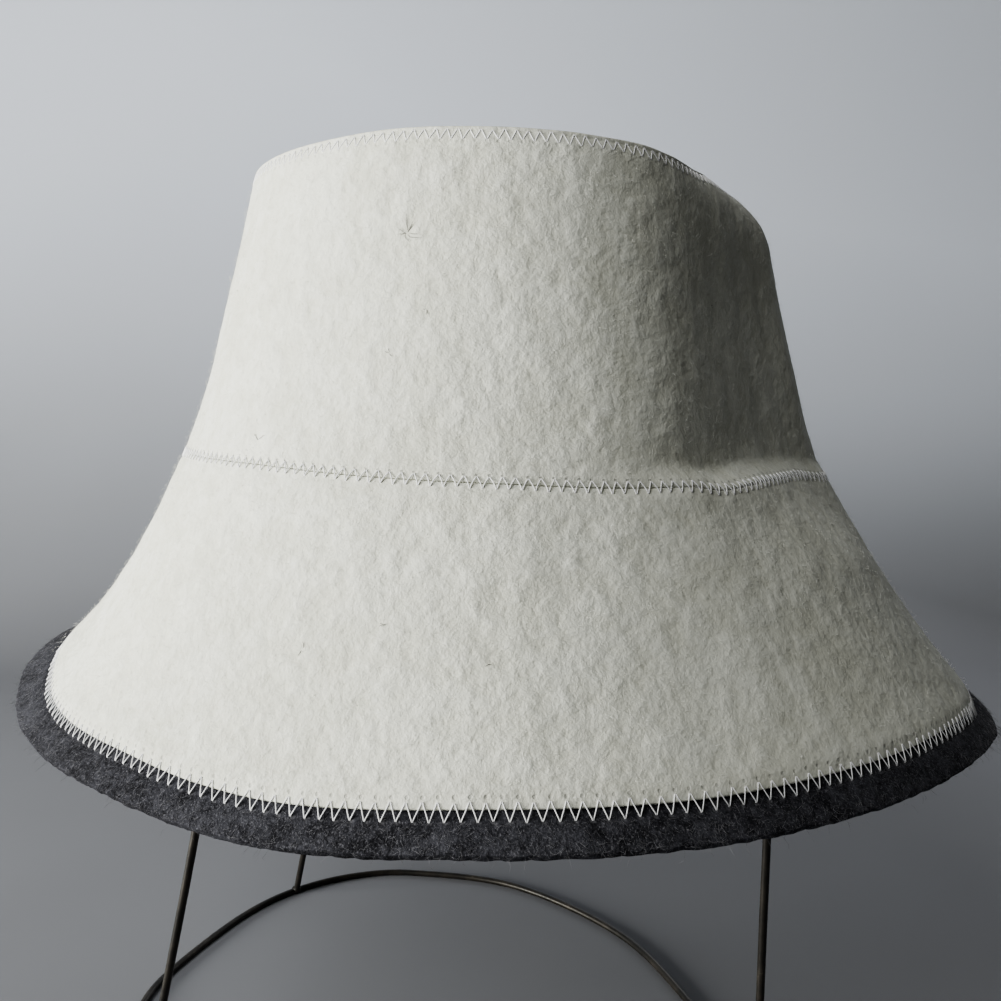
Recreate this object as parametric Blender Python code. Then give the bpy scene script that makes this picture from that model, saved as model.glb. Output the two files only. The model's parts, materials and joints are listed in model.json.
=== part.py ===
"""Sauna hat of white and grey felt, on a plain wire stand.

X runs to the right, Y away from the front and Z up. The origin lies on the table, under the
middle of the brim. Azimuths are in degrees round the hat, 0 at the front and +90 at the right.
Sizes and tables are in millimetres, and the mesh is built in metres.
"""

import math
from collections import namedtuple

import bmesh
import bpy
from mathutils import Vector

for old in list(bpy.data.objects):
    bpy.data.objects.remove(old, do_unlink=True)

MM = 0.001

# The hat's driving dimensions
TOP_RADIUS = 78.0
JOINT_RADIUS = 100.0
CROWN_SLANT = 90.0
BRIM_SLANT = 85.0
TOP_SHIFT = 0.5
TOP_MIDDLE_HEIGHT = 273.5
FELT = 3.0
SEWN_FELT = 1.6
THINNING = 10.0
BAND_FELT = 2.8
BAND_UNDER = 10.0
BAND_STEP = 0.4
GAP = 0.3

# How steeply the felt's profile runs, in degrees from level, and how far that slope pulls the curve
JOINT_SLOPE = 64.5
TOP_SLOPE = 78.5
CROWN_PULL_AT_JOINT = 40.0
CROWN_PULL_AT_TOP = 85.0
BRIM_PULL = 75.0

# The stand's driving dimensions
WIRE = 2.4
WIRE_SIDES = 8
APEX_HEIGHT = 269.0
LEG_END_UP = 1.0

# Where the crown's wall starts to be pressed in above the joint, and where its top curls in
LOW_SHARE = 0.12
MIDDLE_SHARE = 0.5
CURL_SHARE = 0.78
CURL_POWER = 2.5
JOINT_PUSH_FADES = 0.35

# Azimuths of the mesh: steps of 6 degrees, and of 3.5 degrees across the dent
COARSE_STEP = 6.0
FINE_STEP = 3.5
DENT_FROM = 16.0
DENT_TO = 100.0

# Rings of the mesh between the felt's cut edges, as shares of its run, and as a share of the way
# out over the top panel
WALL_RINGS = (0.05, LOW_SHARE, 0.3, MIDDLE_SHARE, 0.66, CURL_SHARE, 0.86, 0.92, 0.955)
BRIM_RINGS = (0.12, 0.3, 0.5)
TOP_RING = 0.5

# Heights of the crown's top edge and of its joint with the brim
Crown = namedtuple("Crown", "azimuth top joint")
CROWN_HEIGHTS = (
    Crown(-150, 272.4, 188.2),
    Crown(-110, 272.6, 189.6),
    Crown(-68, 271.8, 189.9),
    Crown(-42, 272.0, 189.3),
    Crown(-22, 272.4, 187.6),
    Crown(0, 271.5, 186.0),
    Crown(18, 270.0, 184.7),
    Crown(26, 269.4, 184.6),
    Crown(33, 268.4, 183.2),
    Crown(46, 267.6, 184.0),
    Crown(60, 267.8, 184.0),
    Crown(75, 267.0, 182.0),
    Crown(95, 266.4, 181.6),
    Crown(120, 268.6, 182.6),
    Crown(150, 270.6, 184.2),
    Crown(180, 271.8, 186.0),
)

# The brim's lower edge: how far out and high it is, how far below level the felt points there,
# and how much of the grey band shows
Edge = namedtuple("Edge", "azimuth radius height droop band")
BRIM_EDGE = (
    Edge(-150, 146.0, 121.0, 40.0, 10.0),
    Edge(-120, 146.5, 125.5, 30.0, 10.5),
    Edge(-93, 147.3, 128.4, 22.0, 13.4),
    Edge(-78, 148.0, 125.6, 23.0, 13.0),
    Edge(-65, 147.7, 120.8, 27.0, 11.6),
    Edge(-54, 146.4, 118.8, 33.0, 10.8),
    Edge(-42, 145.5, 118.3, 38.0, 10.6),
    Edge(-30, 144.8, 116.1, 42.0, 10.1),
    Edge(-22, 144.4, 115.1, 44.0, 10.0),
    Edge(0, 144.4, 116.6, 47.0, 10.5),
    Edge(18, 144.4, 116.7, 48.0, 10.3),
    Edge(33, 144.9, 117.0, 49.0, 10.7),
    Edge(48, 145.9, 117.1, 48.0, 10.7),
    Edge(60, 147.0, 116.2, 46.0, 10.3),
    Edge(70, 147.7, 113.1, 45.0, 10.0),
    Edge(85, 148.2, 112.4, 45.0, 10.0),
    Edge(115, 147.0, 113.5, 45.0, 10.0),
    Edge(150, 146.0, 116.0, 45.0, 10.0),
    Edge(180, 146.0, 118.0, 44.0, 10.0),
)

# The dent in the crown's right front: how far the wall is pushed in at the joint, just above
# it, at its middle and at its top, and how far its top edge curls in beyond that
Dent = namedtuple("Dent", "azimuth joint low middle top curl")
DENT = (
    Dent(-180, 0.0, 0.0, 0.0, 0.0, 0.0),
    Dent(15, 0.0, 0.0, 0.0, 0.3, 0.0),
    Dent(21, 0.0, 0.4, 0.2, 0.6, 0.0),
    Dent(26, 0.2, 1.9, 1.2, 1.2, 0.0),
    Dent(33, 1.4, 6.0, 4.4, 2.6, 0.5),
    Dent(40, 3.6, 9.5, 7.6, 4.2, 2.0),
    Dent(48, 6.0, 11.4, 9.8, 5.3, 4.0),
    Dent(57, 7.0, 11.6, 10.2, 5.2, 6.0),
    Dent(66, 5.5, 9.0, 7.8, 3.8, 8.5),
    Dent(76, 0.8, 3.4, 2.2, 0.8, 10.0),
    Dent(86, 0.0, 0.5, 0.5, 0.0, 9.5),
    Dent(100, 0.0, 0.0, 0.0, 0.0, 6.0),
    Dent(118, 0.0, 0.0, 0.0, 0.0, 2.0),
    Dent(135, 0.0, 0.0, 0.0, 0.0, 0.0),
)

# Places that the stand's base ring passes on the table
Place = namedtuple("Place", "x y")
BASE_RING = (
    Place(-123.0, -2.0),
    Place(-119.0, 21.0),
    Place(-104.0, 58.5),
    Place(-87.0, 81.0),
    Place(-64.0, 94.5),
    Place(-38.0, 97.0),
    Place(4.0, 84.5),
    Place(42.5, 46.0),
    Place(61.5, 0.0),
    Place(73.0, -50.5),
    Place(56.0, -86.0),
    Place(10.0, -105.0),
    Place(-45.0, -103.0),
    Place(-87.0, -80.0),
    Place(-106.3, -52.4),
    Place(-119.0, -28.0),
)

# Bends of the wire that makes the two front legs, and of the rear leg, from foot to crown
Bend = namedtuple("Bend", "x y z")
FRONT_LEGS = (
    Bend(-106.3, -52.4, LEG_END_UP),
    Bend(-94.0, -49.5, 60.0),
    Bend(-83.0, -46.5, 116.0),
    Bend(-70.0, -41.0, 180.0),
    Bend(-55.0, -33.0, 232.0),
    Bend(-31.0, -19.0, 260.0),
    Bend(0.0, 0.0, APEX_HEIGHT),
    Bend(28.0, -17.0, 259.0),
    Bend(47.0, -30.0, 232.0),
    Bend(64.0, -42.0, 186.0),
    Bend(73.0, -48.5, 140.0),
    Bend(74.5, -50.0, 100.0),
    Bend(73.8, -50.3, 50.0),
    Bend(73.0, -50.5, LEG_END_UP),
)
REAR_LEG = (
    Bend(-87.0, 81.0, LEG_END_UP),
    Bend(-74.0, 71.0, 60.0),
    Bend(-62.5, 62.0, 116.0),
    Bend(-52.0, 52.0, 180.0),
    Bend(-41.0, 41.0, 232.0),
    Bend(-24.0, 24.0, 260.0),
    Bend(-0.4, 0.4, APEX_HEIGHT),
)
POINTS_PER_BEND = 3
POINTS_PER_PLACE = 4

# Steps for measuring the felt's slope, and the shares taken as the cut edge at the joint
AZIMUTH_NUDGE = 0.5
SHARE_NUDGE = 0.002
JOINT_EDGE_SHARE = 0.01

SMOOTH_UNDER_DEGREES = 40


def hermite(share, start, pull_start, end, pull_end):
    """A cubic from start to end, leaving and arriving with the given pulls."""
    squared, cubed = share**2, share**3
    return (
        (2 * cubed - 3 * squared + 1) * start
        + (cubed - 2 * squared + share) * pull_start
        + (3 * squared - 2 * cubed) * end
        + (cubed - squared) * pull_end
    )


def ease(share):
    """0 below 0, 1 above 1, and a smooth step between."""
    share = min(1.0, max(0.0, share))
    return share * share * (3 - 2 * share)


def row_slope(before, at, after):
    """Slope of a smooth curve through three (azimuth, value) points, level at a peak."""
    rising = (at[1] - before[1]) / (at[0] - before[0])
    leaving = (after[1] - at[1]) / (after[0] - at[0])
    if rising * leaving <= 0:
        return 0.0
    return 2 * rising * leaving / (rising + leaving)


def around(table, column, azimuth):
    """Smooth value of a table's column at an azimuth, closed round the hat."""
    azimuth = (azimuth + 180.0) % 360.0 - 180.0
    points = [(row.azimuth, getattr(row, column)) for row in table]
    points = (
        [(a - 360.0, value) for a, value in points[-2:]]
        + points
        + [(a + 360.0, value) for a, value in points[:2]]
    )
    at = max(i for i in range(1, len(points) - 2) if points[i][0] <= azimuth)
    start, end = points[at], points[at + 1]
    width = end[0] - start[0]
    pull_start = row_slope(points[at - 1], start, end) * width
    pull_end = row_slope(start, end, points[at + 2]) * width
    return hermite((azimuth - start[0]) / width, start[1], pull_start, end[1], pull_end)


def outwards(azimuth):
    """Level direction from the hat's axis at an azimuth."""
    angle = math.radians(azimuth)
    return Vector((math.sin(angle), -math.cos(angle), 0.0))


def pushed_in(azimuth, rise):
    """How far the dent pushes the crown's wall in, at a share of its height."""
    joint, low, middle, top, curl = (
        around(DENT, column, azimuth) for column in ("joint", "low", "middle", "top", "curl")
    )
    if rise < LOW_SHARE:
        push = joint + (low - joint) * ease(rise / LOW_SHARE)
    elif rise < MIDDLE_SHARE:
        push = low + (middle - low) * ease((rise - LOW_SHARE) / (MIDDLE_SHARE - LOW_SHARE))
    else:
        push = middle + (top - middle) * ease((rise - MIDDLE_SHARE) / (1 - MIDDLE_SHARE))
    curled = max(0.0, (rise - CURL_SHARE) / (1 - CURL_SHARE)) ** CURL_POWER
    return push + curl * curled


def crown_point(azimuth, rise):
    """Outer face of the crown's wall, from the joint at rise 0 to the top edge at rise 1."""
    joint_slope, top_slope = math.radians(JOINT_SLOPE), math.radians(TOP_SLOPE)
    radius = hermite(
        rise,
        JOINT_RADIUS,
        -math.cos(joint_slope) * CROWN_PULL_AT_JOINT,
        TOP_RADIUS,
        -math.cos(top_slope) * CROWN_PULL_AT_TOP,
    )
    height = hermite(
        rise,
        around(CROWN_HEIGHTS, "joint", azimuth),
        math.sin(joint_slope) * CROWN_PULL_AT_JOINT,
        around(CROWN_HEIGHTS, "top", azimuth),
        math.sin(top_slope) * CROWN_PULL_AT_TOP,
    )
    place = outwards(azimuth) * (radius - pushed_in(azimuth, rise))
    return (place + Vector((TOP_SHIFT * rise, 0.0, height))) * MM


def brim_point(azimuth, run):
    """Outer face of the brim, from the joint at run 0 to the grey band's edge at run 1."""
    joint_slope = math.radians(JOINT_SLOPE)
    droop = math.radians(around(BRIM_EDGE, "droop", azimuth))
    radius = hermite(
        run,
        JOINT_RADIUS,
        math.cos(joint_slope) * BRIM_PULL,
        around(BRIM_EDGE, "radius", azimuth),
        math.cos(droop) * BRIM_PULL,
    )
    height = hermite(
        run,
        around(CROWN_HEIGHTS, "joint", azimuth),
        -math.sin(joint_slope) * BRIM_PULL,
        around(BRIM_EDGE, "height", azimuth),
        -math.sin(droop) * BRIM_PULL,
    )
    radius -= around(DENT, "joint", azimuth) * (1 - ease(run / JOINT_PUSH_FADES))
    return (outwards(azimuth) * radius + Vector((0.0, 0.0, height))) * MM


def inside(surface, azimuth, share, depth):
    """The point that lies a depth below a surface's outer face. Cut edges at the joint are parallel."""
    at = 0.0 if share < JOINT_EDGE_SHARE else share
    across = surface(azimuth + AZIMUTH_NUDGE, at) - surface(azimuth - AZIMUTH_NUDGE, at)
    along = surface(azimuth, at + SHARE_NUDGE) - surface(azimuth, at - SHARE_NUDGE)
    normal = across.cross(along).normalized()
    if normal.dot(outwards(azimuth)) < 0:
        normal.negate()
    return surface(azimuth, share) - normal * depth * MM


def mesh_azimuths():
    """Azimuths of the mesh's columns, closer together across the dent."""
    fine = round((DENT_TO - DENT_FROM) / FINE_STEP)
    coarse = round((360.0 - DENT_TO + DENT_FROM) / COARSE_STEP)
    dent = [DENT_FROM + (DENT_TO - DENT_FROM) * i / fine for i in range(fine)]
    rest = [DENT_TO + (360.0 - DENT_TO + DENT_FROM) * i / coarse for i in range(coarse)]
    return dent + rest


AZIMUTHS = mesh_azimuths()


def material(name, colour, roughness, metallic=0.0):
    """A Principled material."""
    made = bpy.data.materials.new(name)
    made.use_nodes = True
    shader = made.node_tree.nodes["Principled BSDF"]
    shader.inputs["Base Color"].default_value = (*colour, 1.0)
    shader.inputs["Roughness"].default_value = roughness
    shader.inputs["Metallic"].default_value = metallic
    return made


WHITE_FELT = material("white_felt", (0.70, 0.69, 0.62), 0.95)
GREY_FELT = material("grey_felt", (0.045, 0.045, 0.05), 0.95)
DARK_WIRE = material("dark_wire", (0.03, 0.026, 0.022), 0.45, 0.6)


def finish(name, form, finish_material):
    """A new object from a bmesh, with its faces pointing out."""
    bmesh.ops.recalc_face_normals(form, faces=form.faces)
    mesh = bpy.data.meshes.new(name)
    form.to_mesh(mesh)
    form.free()
    mesh.materials.append(finish_material)
    mesh.shade_smooth()
    mesh.set_sharp_from_angle(angle=math.radians(SMOOTH_UNDER_DEGREES))
    made = bpy.data.objects.new(name, mesh)
    bpy.context.scene.collection.objects.link(made)
    return made


def join_rings(form, rings, closed):
    """Quads between neighbouring rings of vertices, and from the last to the first if closed."""
    pairs = list(zip(rings, rings[1:]))
    if closed:
        pairs.append((rings[-1], rings[0]))
    for ring, other in pairs:
        for i in range(len(ring)):
            j = (i + 1) % len(ring)
            form.faces.new((ring[i], ring[j], other[j], other[i]))


def felt_ring(name, surface, section, finish_material):
    """A closed band of felt round the hat. section(azimuth) gives its (share, depth) outline."""
    form = bmesh.new()
    rings = [
        [form.verts.new(inside(surface, azimuth, share, depth)) for share, depth in section(azimuth)]
        for azimuth in AZIMUTHS
    ]
    join_rings(form, rings, closed=True)
    return finish(name, form, finish_material)


def wall_section(azimuth):
    """The crown wall's outline. It ends under the top panel's edge."""
    low = GAP / 2 / CROWN_SLANT
    high = 1 - (SEWN_FELT + GAP) / CROWN_SLANT
    shares = [low, *WALL_RINGS, high]
    return [(share, 0.0) for share in shares] + [(share, FELT) for share in reversed(shares)]


def white_end(azimuth):
    """Where the white felt ends along the brim's run."""
    return 1 - around(BRIM_EDGE, "band", azimuth) / BRIM_SLANT


def brim_section(azimuth):
    """The white brim's outline, thin where it is sewn to the grey band."""
    end = white_end(azimuth)
    thick_end = end - THINNING / BRIM_SLANT
    halfway = (end + thick_end) / 2
    thick_shares = [GAP / 2 / BRIM_SLANT, *BRIM_RINGS, thick_end]
    inner = [(share, FELT) for share in thick_shares]
    inner += [(halfway, (FELT + SEWN_FELT) / 2), (end, SEWN_FELT)]
    return [(share, 0.0) for share, _ in inner] + inner[::-1]


def band_section(azimuth):
    """The grey band's outline: under the white felt, then out to the brim's edge."""
    end = white_end(azimuth)
    start = end - BAND_UNDER / BRIM_SLANT
    outer = [
        (start, FELT + GAP),
        ((start + end) / 2, (FELT + SEWN_FELT) / 2 + GAP),
        (end, SEWN_FELT + GAP),
        ((end + 1) / 2, (SEWN_FELT + GAP + BAND_STEP) / 2),
        (1.0, BAND_STEP),
    ]
    return outer + [(share, depth + BAND_FELT) for share, depth in reversed(outer)]


def top_point(azimuth, out):
    """Upper face of the crown's top panel, from its middle at out 0 to its edge at out 1."""
    middle = Vector((TOP_SHIFT, 0.0, TOP_MIDDLE_HEIGHT)) * MM
    edge = crown_point(azimuth, 1.0)
    place = middle.lerp(edge, out)
    place.z = middle.z + (edge.z - middle.z) * out * out
    return place


def crown_top():
    """The round panel: its upper face, its sewn edge and its under face."""
    form = bmesh.new()
    thick_out = 1 - THINNING / TOP_RADIUS
    drop = Vector((0.0, 0.0, FELT * MM))
    upper = [[form.verts.new(top_point(a, out)) for a in AZIMUTHS] for out in (TOP_RING, thick_out, 1.0)]
    edge_low = [form.verts.new(crown_point(a, 1 - SEWN_FELT / CROWN_SLANT)) for a in AZIMUTHS]
    under = [[form.verts.new(top_point(a, out) - drop) for a in AZIMUTHS] for out in (thick_out, TOP_RING)]
    join_rings(form, upper + [edge_low] + under, closed=False)
    for ring, depth in ((upper[0], 0.0), (under[-1], FELT)):
        middle = form.verts.new(top_point(0.0, 0.0) - Vector((0.0, 0.0, depth * MM)))
        for i in range(len(ring)):
            form.faces.new((middle, ring[i], ring[(i + 1) % len(ring)]))
    return finish("crown_top", form, WHITE_FELT)


def smooth_path(points, per_span, closed):
    """A smooth curve through the points, each span in per_span steps."""
    count = len(points)
    spans = count if closed else count - 1
    path = []
    for i in range(spans):
        if closed:
            before, start, end, after = (points[(i + k) % count] for k in (-1, 0, 1, 2))
        else:
            before, after = points[max(i - 1, 0)], points[min(i + 2, count - 1)]
            start, end = points[i], points[i + 1]
        for step in range(per_span):
            pulls = (end - before) / 2, (after - start) / 2
            path.append(hermite(step / per_span, start, pulls[0], end, pulls[1]))
    return path if closed else path + [points[-1]]


def tube(name, path, closed):
    """A round wire along a path, with a flat side down where it lies level."""
    form = bmesh.new()
    count = len(path)
    angles = [math.tau * (k + 0.5) / WIRE_SIDES for k in range(WIRE_SIDES)]
    side = Vector((1.0, 0.0, 0.0))
    rings = []
    for i, point in enumerate(path):
        ahead = path[(i + 1) % count] if closed or i + 1 < count else point
        behind = path[i - 1] if closed or i else point
        along = (ahead - behind).normalized()
        side = (side - along * side.dot(along)).normalized()
        up = side.cross(along)
        spokes = [side * math.cos(angle) + up * math.sin(angle) for angle in angles]
        rings.append([form.verts.new((point + spoke * WIRE / 2) * MM) for spoke in spokes])
    join_rings(form, rings, closed)
    if not closed:
        form.faces.new(rings[0])
        form.faces.new(rings[-1])
    return finish(name, form, DARK_WIRE)


def leg_path(bends, both_ends):
    """A leg's wire, with a short upright end where it stands on the table."""
    path = smooth_path([Vector(bend) for bend in bends], POINTS_PER_BEND, closed=False)
    path.insert(0, Vector((bends[0].x, bends[0].y, 0.0)))
    if both_ends:
        path.append(Vector((bends[-1].x, bends[-1].y, 0.0)))
    return path


def wire_stand():
    """The base ring with the legs joined to it, as one solid."""
    lying = WIRE / 2 * math.cos(math.pi / WIRE_SIDES)
    places = [Vector((place.x, place.y, lying)) for place in BASE_RING]
    stand = tube("wire_stand", smooth_path(places, POINTS_PER_PLACE, closed=True), closed=True)
    legs = (
        tube("front_legs", leg_path(FRONT_LEGS, both_ends=True), closed=False),
        tube("rear_leg", leg_path(REAR_LEG, both_ends=False), closed=False),
    )
    for leg in legs:
        leg.hide_render = True
        leg.display_type = "WIRE"
        join = stand.modifiers.new(leg.name, "BOOLEAN")
        join.operation = "UNION"
        join.object = leg
    return stand


crown_top()
felt_ring("crown_wall", crown_point, wall_section, WHITE_FELT)
felt_ring("brim", brim_point, brim_section, WHITE_FELT)
felt_ring("edge_band", brim_point, band_section, GREY_FELT)
wire_stand()
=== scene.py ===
"""Looks of the sauna hat on its wire stand: felt, stitching, loose fibres, wire, light and camera.

X runs to the right, Y away from the front and Z up. Azimuths are in degrees round the hat, 0 at
the front and +90 at the right. The hat's surfaces are worked out in millimetres from the same
tables as its solids, and every mesh is built in metres.
"""

import json
import math
from collections import namedtuple

import bpy
import numpy as np
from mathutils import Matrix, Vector, noise

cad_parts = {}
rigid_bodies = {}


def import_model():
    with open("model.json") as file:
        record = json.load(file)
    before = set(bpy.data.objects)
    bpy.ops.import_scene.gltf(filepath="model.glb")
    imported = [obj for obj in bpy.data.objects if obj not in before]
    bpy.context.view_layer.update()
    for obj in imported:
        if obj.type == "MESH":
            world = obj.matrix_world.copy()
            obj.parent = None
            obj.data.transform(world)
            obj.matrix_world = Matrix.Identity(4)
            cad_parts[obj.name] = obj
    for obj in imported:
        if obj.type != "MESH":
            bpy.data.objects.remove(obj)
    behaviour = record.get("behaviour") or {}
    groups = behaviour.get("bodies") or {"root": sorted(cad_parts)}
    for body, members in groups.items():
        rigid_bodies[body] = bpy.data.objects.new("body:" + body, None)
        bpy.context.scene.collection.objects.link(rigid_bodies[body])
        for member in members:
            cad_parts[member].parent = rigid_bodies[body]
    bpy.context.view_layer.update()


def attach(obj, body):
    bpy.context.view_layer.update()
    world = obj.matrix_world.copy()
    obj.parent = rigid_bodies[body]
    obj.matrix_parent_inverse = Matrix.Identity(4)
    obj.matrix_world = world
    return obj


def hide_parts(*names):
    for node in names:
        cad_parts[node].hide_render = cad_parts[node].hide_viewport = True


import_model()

MM = 0.001

# The photo's frame: the image is square, and the focal length is in its pixels
IMAGE_SIDE = 1001
FOCAL_PIXELS = 1065.0
SENSOR_WIDTH = 36.0
CAMERA_PLACE = (-0.0020, -0.3446, 0.2060)
CAMERA_DOWN_DEGREES = 5.6

# The hat's sizes, in millimetres
TOP_RADIUS = 78.0
JOINT_RADIUS = 100.0
CROWN_SLANT = 90.0
BRIM_SLANT = 85.0
TOP_SHIFT = 0.5
TOP_MIDDLE_HEIGHT = 273.5
FELT = 3.0
SEWN_FELT = 1.6
THINNING = 10.0
BAND_FELT = 2.8
BAND_UNDER = 10.0
GAP = 0.3

# How steeply the felt's profile runs, in degrees from level, and how far that slope pulls it
JOINT_SLOPE = 64.5
TOP_SLOPE = 78.5
CROWN_PULL_AT_JOINT = 40.0
CROWN_PULL_AT_TOP = 85.0
BRIM_PULL = 75.0

# Where along its rise the crown's wall is pressed in, and where its top curls in
LOW_SHARE = 0.12
MIDDLE_SHARE = 0.5
CURL_SHARE = 0.78
CURL_POWER = 2.5
JOINT_PUSH_FADES = 0.35

# The stand's sizes
WIRE = 2.4
APEX_HEIGHT = 269.0
LEG_END_UP = 1.0

# Heights of the crown's top edge and of its joint with the brim
Crown = namedtuple("Crown", "azimuth top joint")
CROWN_HEIGHTS = (
    Crown(-150, 272.4, 188.2),
    Crown(-110, 272.6, 189.6),
    Crown(-68, 271.8, 189.9),
    Crown(-42, 272, 189.3),
    Crown(-22, 272.4, 187.6),
    Crown(0, 271.5, 186),
    Crown(18, 270, 184.7),
    Crown(26, 269.4, 184.6),
    Crown(33, 268.4, 183.2),
    Crown(46, 267.6, 184),
    Crown(60, 267.8, 184),
    Crown(75, 267, 182),
    Crown(95, 266.4, 181.6),
    Crown(120, 268.6, 182.6),
    Crown(150, 270.6, 184.2),
    Crown(180, 271.8, 186),
)

# The brim's lower edge: how far out and high it is, how far below level the felt points there,
# and how much of the grey band shows
Edge = namedtuple("Edge", "azimuth radius height droop band")
BRIM_EDGE = (
    Edge(-150, 146, 121, 40, 10),
    Edge(-120, 146.5, 125.5, 30, 10.5),
    Edge(-93, 147.3, 128.4, 22, 13.4),
    Edge(-78, 148, 125.6, 23, 13),
    Edge(-65, 147.7, 120.8, 27, 11.6),
    Edge(-54, 146.4, 118.8, 33, 10.8),
    Edge(-42, 145.5, 118.3, 38, 10.6),
    Edge(-30, 144.8, 116.1, 42, 10.1),
    Edge(-22, 144.4, 115.1, 44, 10),
    Edge(0, 144.4, 116.6, 47, 10.5),
    Edge(18, 144.4, 116.7, 48, 10.3),
    Edge(33, 144.9, 117, 49, 10.7),
    Edge(48, 145.9, 117.1, 48, 10.7),
    Edge(60, 147, 116.2, 46, 10.3),
    Edge(70, 147.7, 113.1, 45, 10),
    Edge(85, 148.2, 112.4, 45, 10),
    Edge(115, 147, 113.5, 45, 10),
    Edge(150, 146, 116, 45, 10),
    Edge(180, 146, 118, 44, 10),
)

# The dent in the crown's right front: how far the wall is pushed in at the joint, just above
# it, at its middle and at its top, and how far its top edge curls in beyond that. Its left
# border is up to 1.3 mm deeper than the solid's.
Dent = namedtuple("Dent", "azimuth joint low middle top curl")
DENT = (
    Dent(-180, 0, 0, 0, 0, 0),
    Dent(11, 0, 0, 0, 0, 0),
    Dent(16, 0, 0.5, 0.2, 0.3, 0),
    Dent(21, 0, 1.5, 0.8, 0.7, 0),
    Dent(26, 0.2, 3.2, 2, 1.4, 0),
    Dent(33, 1.4, 6.4, 4.6, 2.7, 0.5),
    Dent(40, 3.6, 9.5, 7.6, 4.2, 2),
    Dent(48, 6, 11.4, 9.8, 5.3, 4),
    Dent(57, 7, 11.6, 10.2, 5.2, 6),
    Dent(66, 5.5, 9, 7.8, 3.8, 8.5),
    Dent(76, 0.8, 3.4, 2.2, 0.8, 10),
    Dent(86, 0, 0.5, 0.5, 0, 9.5),
    Dent(100, 0, 0, 0, 0, 6),
    Dent(118, 0, 0, 0, 0, 2),
    Dent(135, 0, 0, 0, 0, 0),
)

# Places that the stand's base ring passes on the table
Place = namedtuple("Place", "x y")
BASE_RING = (
    Place(-123, -2),
    Place(-119, 21),
    Place(-104, 58.5),
    Place(-87, 81),
    Place(-64, 94.5),
    Place(-38, 97),
    Place(4, 84.5),
    Place(42.5, 46),
    Place(61.5, 0),
    Place(73, -50.5),
    Place(56, -86),
    Place(10, -105),
    Place(-45, -103),
    Place(-87, -80),
    Place(-106.3, -52.4),
    Place(-119, -28),
)

# Bends of the wire that makes the two front legs, and of the rear leg, from foot to crown
Bend = namedtuple("Bend", "x y z")
FRONT_LEGS = (
    Bend(-106.3, -52.4, LEG_END_UP),
    Bend(-94, -49.5, 60),
    Bend(-83, -46.5, 116),
    Bend(-70, -41, 180),
    Bend(-55, -33, 232),
    Bend(-31, -19, 260),
    Bend(0, 0, APEX_HEIGHT),
    Bend(28, -17, 259),
    Bend(47, -30, 232),
    Bend(64, -42, 186),
    Bend(73, -48.5, 140),
    Bend(74.5, -50, 100),
    Bend(73.8, -50.3, 50),
    Bend(73, -50.5, LEG_END_UP),
)
REAR_LEG = (
    Bend(-87, 81, LEG_END_UP),
    Bend(-74, 71, 60),
    Bend(-62.5, 62, 116),
    Bend(-52, 52, 180),
    Bend(-41, 41, 232),
    Bend(-24, 24, 260),
    Bend(-0.4, 0.4, APEX_HEIGHT),
)

# Steps for measuring a surface's slope
AZIMUTH_NUDGE = 0.5
SHARE_NUDGE = 0.003

# Stitches round each seam, and the arc between two of them in millimetres
JOINT_STITCHES = 209
EDGE_STITCHES = 264
TOP_STITCHES = 172
HOLE_PITCH = {"joint": 2.98, "edge": 3.46, "top": 2.85}

# The thread, and how far it dives into a needle hole
THREAD_RADIUS = 0.145
THREAD_SIDES = 6
THREAD_TWIST = 0.7
THREAD_SINK = 0.8

# Places along a stitch as shares of its length, and how near a hole the thread dives
STITCH_STEPS = np.array((0.0, 0.03, 0.07, 0.25, 0.5, 0.75, 0.93, 0.97))
DIVE_SHARE = 0.035

# How unevenly the stitches are set and how far their lower ends lean to the hat's sides, as
# shares of their pitch, and how unevenly long they are, in millimetres
STITCH_JITTER = 0.025
STITCH_LEAN = 0.16
REACH_JITTER = 0.12

# The grey band: how deep its face lies away from the white felt and how much deeper at the white
# felt's edge, how it rises between, and how it sinks under the white
BAND_OUT_DEPTH = 0.3
BAND_EDGE_DEPTH = 1.6
BAND_RISE = 5.2
BAND_RISE_POWER = 1.5
BAND_UNDER_SLOPE = 0.14

# Grooves that stitches pull into the felt, each as a depth and a width
JOINT_PULL = (0.45, 2.0)
EDGE_PULL = (0.75, 1.9)
TOP_PULL = (0.22, 2.0)
BAND_GROOVE = (0.2, 0.9)
BAND_GROOVE_BELOW = 2.4
TOP_GROOVE = (0.2, 1.0)
TOP_GROOVE_BELOW = 1.9
TOP_EDGE_FALL = (0.33, 0.8)
PANEL_EDGE_FALL = (0.25, 2.4)

# The felt's unevenness: lumps of a size in millimetres, and how far they lift its face
Lumps = namedtuple("Lumps", "size octaves place lift")
FELT_LUMPS = (Lumps(28.0, 2, 3.0, 0.35), Lumps(6.0, 3, 11.0, 0.16))

# How far the grey band's cut edge wanders
BAND_LUMPS = Lumps(3.2, 4, 5.0, 0.35)

# The share of its unevenness that the felt keeps where it is sewn, the distance from there at
# which it has it all, and the share that the grey band has
SEWN_LOOSENESS = 0.25
LOOSE_FROM = 9.0
BAND_LOOSENESS = 0.5

# Radii of the felt's rounded cut edges
EDGE_ROUND = 0.3
RIM_ROUND = 0.5
UNDER_ROUND = 0.12

# How far the crown wall's felt reaches into the top panel's, where both are sewn together, and
# the distance in which the thread over that seam turns from the wall's face to the panel's
TOP_OVERLAP = 0.2
TOP_TURN = 1.6

# Columns of faces round each panel
WALL_COLUMNS = 639
BRIM_COLUMNS = 876
TOP_COLUMNS = 504
BAND_COLUMNS = 876

# Where rows of the top panel lie, as shares of its radius: far apart inside, close at its rim
TOP_INSIDE = (0.02, 0.86)
TOP_RIM = (0.87, 1.0)

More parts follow.
